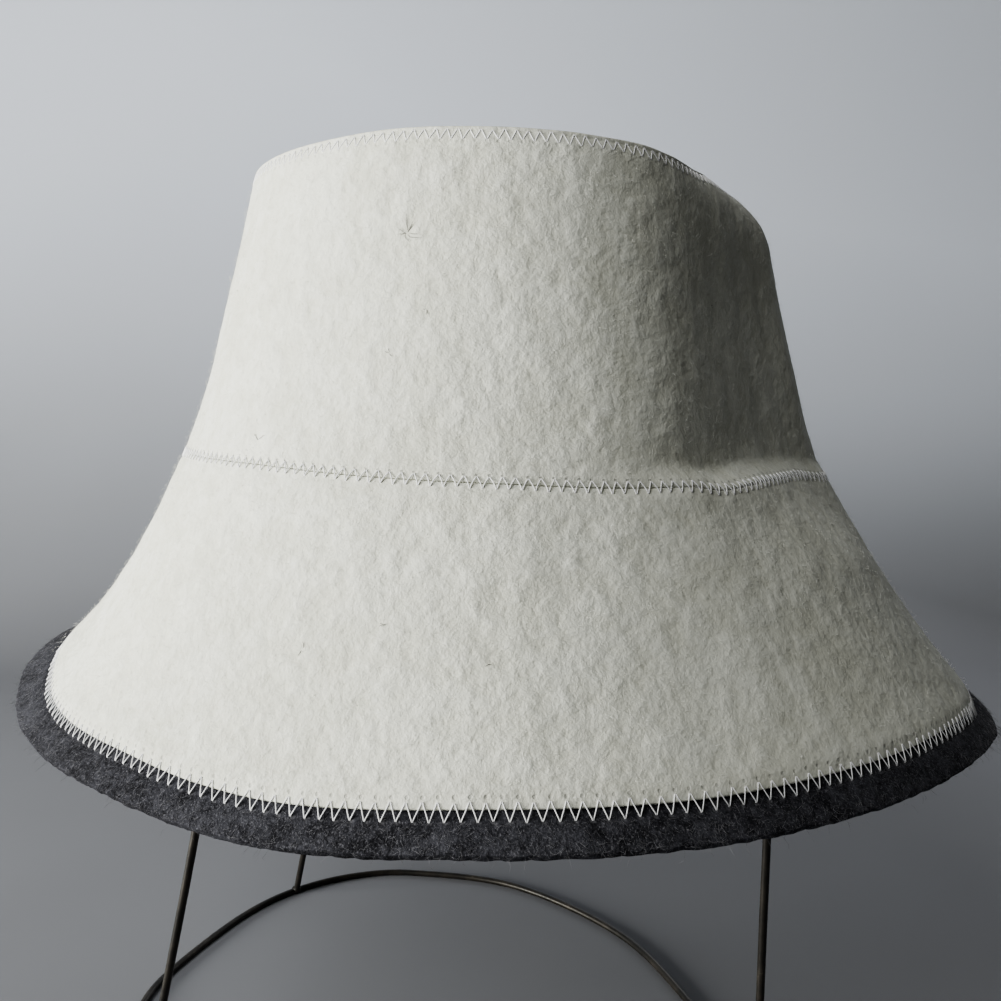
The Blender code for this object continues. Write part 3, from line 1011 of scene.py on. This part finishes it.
def backdrop_material():
    """Paper with painted light: dark on the floor as painted shade, pale up the wall, and up the
    wall painted lighter to the right and a little darker to the left.
    """
    make = Shading("backdrop_paper", 0.9, Specular_IOR_Level=0.1)
    place = make.object_place()
    across, _, height = make.node("ShaderNodeSeparateXYZ", {0: place}).outputs
    tone = make.math("MULTIPLY", make.math("SUBTRACT", make.noise(place, 300.0, 2.0), 0.5), 0.1)
    # Painted shade and light: dark on the floor, pale up the wall, lighter to the wall's right and
    # a little darker to its left
    share = make.math("ADD", make.span(height, *FLOOR_SHADE_FADE), tone)
    side = make.math("MULTIPLY", make.span(across, *SIDE_PAINTED_LIGHT), make.span(height, 0.02, 0.22))
    share = make.math("ADD", share, side, clamp=True)
    return make.finish(make.mix(share, FLOOR_COLOUR, WALL_COLOUR))


def capped_grid(rows, columns):
    """Quads of a stack of rings that close round, and a face at each end."""
    i, j = np.indices((rows - 1, columns))
    i2, j2 = i + 1, (j + 1) % columns
    return quads(i, j, i2, j2, columns) + end_faces(rows, columns)


# The camera, which the photo's frame fixes
camera_data = bpy.data.cameras.new("camera")
camera_data.sensor_fit = "HORIZONTAL"
camera_data.sensor_width = SENSOR_WIDTH
camera_data.lens = FOCAL_PIXELS * SENSOR_WIDTH / IMAGE_SIDE
camera_data.clip_start = 0.01
camera = in_scene("camera", camera_data)
camera.location = CAMERA_PLACE
camera.rotation_euler = (math.radians(90.0 - CAMERA_DOWN_DEGREES), 0.0, 0.0)
bpy.context.scene.camera = camera

THREAD = thread_material()
COATED = wire_material()
WHITE_FIBRE = plain_fibre("white_fibre", (0.78, 0.78, 0.73), (0.86, 0.86, 0.84))
LIGHT_FIBRE = plain_fibre("light_fibre", (0.05, 0.05, 0.055), (0.24, 0.24, 0.26))
DARK_FIBRE = plain_fibre("dark_fibre", (0.09, 0.09, 0.085), (0.19, 0.18, 0.16))
rng = np.random.default_rng(SEED)


# The felt panels
wall_end = np.full(WALL_COLUMNS, 1 - (SEWN_FELT - TOP_OVERLAP) / CROWN_SLANT)
panel(
    "crown_wall_felt",
    crown_surface,
    felt_loop(GAP / 2 / CROWN_SLANT, wall_end, CROWN_SLANT, (72, 22), (JOINT_PULL, TOP_PULL)),
    WALL_COLUMNS,
    WHITE,
    (
        ("joint", lambda rise, azimuth: UV_SPAN - rise * CROWN_SLANT),
        ("top", lambda rise, azimuth: UV_SPAN - (rise - 1) * CROWN_SLANT),
    ),
)
brim_end = white_end(np.arange(BRIM_COLUMNS) * 360.0 / BRIM_COLUMNS)
panel(
    "brim_felt",
    brim_surface,
    felt_loop(GAP / 2 / BRIM_SLANT, brim_end, BRIM_SLANT, (66, 20), (JOINT_PULL, EDGE_PULL)),
    BRIM_COLUMNS,
    WHITE,
    (
        ("joint", lambda run, azimuth: UV_SPAN + run * BRIM_SLANT),
        ("edge", above_white_end),
    ),
)


def band_depth(distance):
    """How deep the grey felt's face lies, at a distance above the white felt's edge."""
    below, under = np.maximum(-distance, 0.0), np.maximum(distance, 0.0)
    rise = np.exp(-((below / BAND_RISE) ** BAND_RISE_POWER))
    settled = BAND_OUT_DEPTH + BAND_EDGE_DEPTH * rise + BAND_UNDER_SLOPE * under
    return settled + dip(distance + BAND_GROOVE_BELOW, *BAND_GROOVE)


def band_rows():
    """Rows of the grey band, from under the white felt to its cut lower edge and back."""
    azimuth = np.arange(BAND_COLUMNS) * 360.0 / BAND_COLUMNS
    end = white_end(azimuth)
    cut = brim_surface(azimuth, np.ones(BAND_COLUMNS))
    length = (1 - end) * BRIM_SLANT + lumps(cut, BAND_LUMPS)

    def row(distance, depth):
        return Row(end - distance / BRIM_SLANT, depth, BAND_LOOSENESS)

    def distances(shares):
        return [BAND_UNDER - share * (BAND_UNDER + length - EDGE_ROUND) for share in shares]

    rows = [row(distance, band_depth(distance)) for distance in distances(np.linspace(0, 1, 34))]
    at_edge = band_depth(-length)
    for back, depth in cut_edge(at_edge, at_edge + BAND_FELT, EDGE_ROUND, EDGE_ROUND, 5):
        rows.append(row(back - length, depth))
    for distance in distances(np.linspace(1, 0, 12)[1:]):
        rows.append(row(distance, band_depth(distance) + BAND_FELT))
    return rows


panel(
    "edge_band_felt",
    brim_surface,
    band_rows(),
    BAND_COLUMNS,
    GREY,
    (("edge", above_white_end),),
)


def crown_top_felt():
    """The round panel that closes the crown, with a rounded rim."""
    azimuth = np.arange(TOP_COLUMNS) * 360.0 / TOP_COLUMNS
    outline = []
    for out in (*np.linspace(*TOP_INSIDE, 26), *np.linspace(*TOP_RIM, 9)[:-1]):
        back = (1 - out) * TOP_RADIUS
        outline.append((back, dip(back, *PANEL_EDGE_FALL)))
    outline += cut_edge(PANEL_EDGE_FALL[0], SEWN_FELT, RIM_ROUND, UNDER_ROUND, 5)
    for out in (*np.linspace(*TOP_RIM[::-1], 5)[1:], *np.linspace(*TOP_INSIDE[::-1], 12)):
        back = (1 - out) * TOP_RADIUS
        outline.append((back, thickness(back)))
    rings = []
    for back, depth in outline:
        point = top_surface(azimuth, np.full(TOP_COLUMNS, 1 - back / TOP_RADIUS))
        point[:, 2] += wave_at(point) * looseness(back) - depth
        rings.append(point)
    count = len(rings)
    faces = capped_grid(count, TOP_COLUMNS)
    piece = new_mesh("crown_top_felt", np.concatenate(rings), faces, WHITE)
    i, j = np.indices((count - 1, TOP_COLUMNS))
    away = [UV_SPAN - back + (depth if back < RIM_ROUND else 0.0) for back, depth in outline]
    away = np.array(away) / UV_SPAN
    u = np.stack((j, j + 1, j + 1, j), -1) / TOP_COLUMNS
    v = np.stack((away[i], away[i], away[i + 1], away[i + 1]), -1)
    add_uv(piece, "top", u, v)
    flip_if_inside_out(piece.data)


crown_top_felt()


# The zigzag seams
def joint_depth(distance):
    """How deep the felt's face lies beside the joint."""
    return dip(distance, *JOINT_PULL)


def edge_depth(distance):
    """How deep the felt's face lies beside the white felt's lower edge."""
    on_grey = band_depth(np.minimum(distance, 0.0))
    return np.where(distance >= 0, dip(distance, *EDGE_PULL), on_grey)


def top_depth(distance):
    """How deep the felt's face lies beside the crown's top edge."""
    return dip(distance + TOP_GROOVE_BELOW, *TOP_GROOVE) + dip(distance, *TOP_EDGE_FALL)


# high and low are a stitch's ends above the seam, in millimetres, and proud is how much of its
# radius the thread stands out of the felt
Seam = namedtuple("Seam", "name spot felt_depth count high low proud")
for seam in (
    Seam("joint_stitching", joint_spot, joint_depth, JOINT_STITCHES, 3.1, -1.9, 0.6),
    Seam("edge_stitching", edge_spot, edge_depth, EDGE_STITCHES, 1.6, -2.7, 0.6),
    Seam("top_stitching", top_spot, top_depth, TOP_STITCHES, -0.9, -3.8, -0.35),
):
    zigzag(seam, THREAD, rng)


# The stand
def wire_piece(name, path, closed):
    """A coated wire along a path."""
    rings = wire_vertices(path, WIRE_SIDES, closed)
    faces = tube_faces(len(path), WIRE_SIDES, closed)
    piece = new_mesh(name, rings.reshape(-1, 3), faces, COATED)
    flip_if_inside_out(piece.data)


def foot(place):
    """The place under the end of a leg where its foot starts."""
    return [(place[0], place[1], FOOT_HEIGHT)]


ring = [(place.x, place.y, WIRE / 2) for place in BASE_RING]
wire_piece("base_ring_wire", smooth_path(ring, RING_STEPS, closed=True), closed=True)
legs = smooth_path(FRONT_LEGS, LEG_STEPS, closed=False)
wire_piece("front_legs_wire", np.concatenate((foot(legs[0]), legs, foot(legs[-1]))), closed=False)
leg = smooth_path(REAR_LEG, LEG_STEPS, closed=False)
wire_piece("rear_leg_wire", np.concatenate((foot(leg[0]), leg)), closed=False)


def weld_bead(name, centre, radius, height, seed):
    """A small lump of weld where two wires meet."""
    points = []
    for i in range(BEAD_ROWS):
        polar = math.pi * (i + 0.35) / (BEAD_ROWS - 0.3)
        for j in range(BEAD_COLUMNS):
            turn = math.tau * j / BEAD_COLUMNS
            level = math.sin(polar)
            way = Vector((level * math.cos(turn), level * math.sin(turn), math.cos(polar)))
            size = 1 + BEAD_UNEVENNESS * noise.noise(way * 2.2 + Vector((seed, 0, 0)))
            points.append((way.x * radius * size, way.y * radius * size, way.z * height * size))
    points = np.array(points) + np.array(centre)
    points[:, 2] = np.maximum(points[:, 2], 0.02)
    faces = capped_grid(BEAD_ROWS, BEAD_COLUMNS)
    piece = new_mesh(name, points, faces, COATED)
    flip_if_inside_out(piece.data)


for number, end in enumerate((FRONT_LEGS[0], FRONT_LEGS[-1], REAR_LEG[0])):
    weld_bead(f"foot_weld_{number + 1}", (end.x, end.y, 1.5), 2.0, 1.7, 3.0 * number)
weld_bead("apex_weld", (-0.2, 0.2, APEX_HEIGHT - 0.1), 1.7, 1.25, 20.0)


# Loose fibres
def on_felt(surface, azimuth, share):
    """Points and normals on a felt panel's uneven face."""
    point = surface(azimuth, share)
    normal = facing(surface, azimuth, share)
    return point + normal * wave_at(point)[:, None], normal


WHITE_HAIR = Hair(0.024, 0.9, 0.5, 3, WHITE_FIBRE, "white_felt")
STRAY_HAIR = Hair(0.06, 0.2, 0.4, 4, DARK_FIBRE, "white_felt")
BAND_HAIR = Hair(0.026, 0.25, 0.5, 3, LIGHT_FIBRE, "grey_felt")


def fibre_lengths(count, shortest, spread, power):
    """Random lengths in millimetres, more of them short than long."""
    return shortest + spread * rng.uniform(0, 1, count) ** power


# Fibres spread over a surface between two places along it
Fibres = namedtuple("Fibres", "name surface low high count")
share_of_fibres = 1.0
for fibres in (
    Fibres("crown_fibres", crown_surface, 0.02, 0.97, 8600),
    Fibres("brim_fibres", brim_surface, 0.02, 0.86, 9600),
    Fibres("top_fibres", top_surface, 0.05, 0.98, 1500),
):
    count = int(fibres.count * share_of_fibres)
    azimuth = rng.uniform(0, 360, count)
    share = fibres.low + (fibres.high - fibres.low) * rng.uniform(0, 1, count)
    root, normal = on_felt(fibres.surface, azimuth, share)
    hairs(fibres.name, WHITE_HAIR, root, normal, fibre_lengths(count, 0.6, 2.4, 1.8), rng)

# Stray dark hairs caught in the felt: where, how many and how long
Stray = namedtuple("Stray", "surface azimuth share count length")
STRAYS = (
    Stray(crown_surface, -17.6, 0.715, 8, 4.4),
    Stray(crown_surface, -18.5, 0.42, 3, 1.6),
    Stray(crown_surface, -13, 0.53, 3, 1.4),
    Stray(crown_surface, -40.5, 0.12, 3, 3.2),
    Stray(crown_surface, 44, 0.60, 2, 0.9),
    Stray(brim_surface, -13.5, 0.42, 2, 2),
    Stray(brim_surface, -2.5, 0.52, 2, 1.4),
    Stray(brim_surface, -23, 0.50, 2, 1.8),
    Stray(crown_surface, 150, 0.45, 3, 2.4),
    Stray(brim_surface, 210, 0.60, 3, 2.2),
)
for number, stray in enumerate(STRAYS):
    azimuth = stray.azimuth + rng.normal(0, 0.15, stray.count)
    share = stray.share + rng.normal(0, 0.002, stray.count)
    root, normal = on_felt(stray.surface, azimuth, share)
    length = stray.length * rng.uniform(0.6, 1.1, stray.count)
    hairs(f"stray_hairs_{number + 1}", STRAY_HAIR, root, normal, length, rng)

count = int(BAND_FIBRES * share_of_fibres)
azimuth = rng.uniform(0, 360, count)
distance = -rng.uniform(BAND_FIBRES_FROM, BAND_FIBRES_TO, count)
distance = np.maximum(distance, -(1 - white_end(azimuth)) * BRIM_SLANT + 0.2)
root, normal = edge_spot(azimuth, distance)
root = root - normal * (band_depth(distance) - BAND_LOOSENESS * wave_at(root))[:, None]
hairs("band_fibres", BAND_HAIR, root, normal, fibre_lengths(count, 1.0, 3.8, 2), rng)


# The felt and wire above stand for the plain solids
for name, node in (
    ("crown_wall_felt", "crown_wall"),
    ("crown_top_felt", "crown_top"),
    ("brim_felt", "brim"),
    ("edge_band_felt", "edge_band"),
    ("base_ring_wire", "wire_stand"),
):
    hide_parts(node)


# A seamless sweep of pale paper, painted darker on the floor as shade
def backdrop():
    """A level floor that curves up into a wall."""
    profile = [(y, 0.0) for y in (*BACKDROP_FRONT, FLOOR_BACK)]
    for angle in np.radians(np.linspace(0, 90, 25))[1:]:
        profile.append((FLOOR_BACK + SWEEP * math.sin(angle), SWEEP * (1 - math.cos(angle))))
    profile.append((FLOOR_BACK + SWEEP, BACKDROP_TOP))
    across = np.linspace(-BACKDROP_HALF_WIDTH, BACKDROP_HALF_WIDTH, 9)
    vertices = [(x, y, z) for y, z in profile for x in across]
    i, j = np.indices((len(profile) - 1, len(across) - 1))
    faces = quads(i, j, i + 1, j + 1, len(across))
    piece = mesh_object("backdrop", vertices, faces, backdrop_material())


backdrop()


# Soft rectangular lamps that face the middle of the hat, seen from there at an azimuth, an
# elevation and a distance
Lamp = namedtuple("Lamp", "name azimuth elevation away size power colour")
LAMPS = (
    Lamp("key_lamp", -73, 2, 1.1, (0.5, 0.34), 20.6, (1.0, 0.99, 0.93)),
    Lamp("second_lamp", -42, 38, 1.2, (0.6, 0.6), 8.5, (1.0, 1.0, 0.97)),
    Lamp("back_lamp", 150, 12, 0.62, (0.5, 0.3), 0.7, (1.0, 1.0, 1.0)),
)
for lamp in LAMPS:
    data = bpy.data.lights.new(lamp.name, "AREA")
    data.shape = "RECTANGLE"
    data.size, data.size_y = lamp.size
    data.energy = lamp.power
    data.color = lamp.colour
    turn, rise = math.radians(lamp.azimuth), math.radians(lamp.elevation)
    level = lamp.away * math.cos(rise)
    x, y, z = LIT_PLACE
    place = (x + level * math.sin(turn), y - level * math.cos(turn), z + lamp.away * math.sin(rise))
    way = Vector(LIT_PLACE) - Vector(place)
    made = in_scene(lamp.name, data)
    made.location = place
    made.rotation_euler = way.to_track_quat("-Z", "Y").to_euler()
    made.visible_camera = False

world = bpy.data.worlds.new("studio")
world.use_nodes = True
background = world.node_tree.nodes["Background"].inputs
background["Color"].default_value = (*WORLD_COLOUR, 1.0)
background["Strength"].default_value = WORLD_STRENGTH
bpy.context.scene.world = world
bpy.context.scene.view_settings.view_transform = VIEW
bpy.context.scene.view_settings.look = LOOK
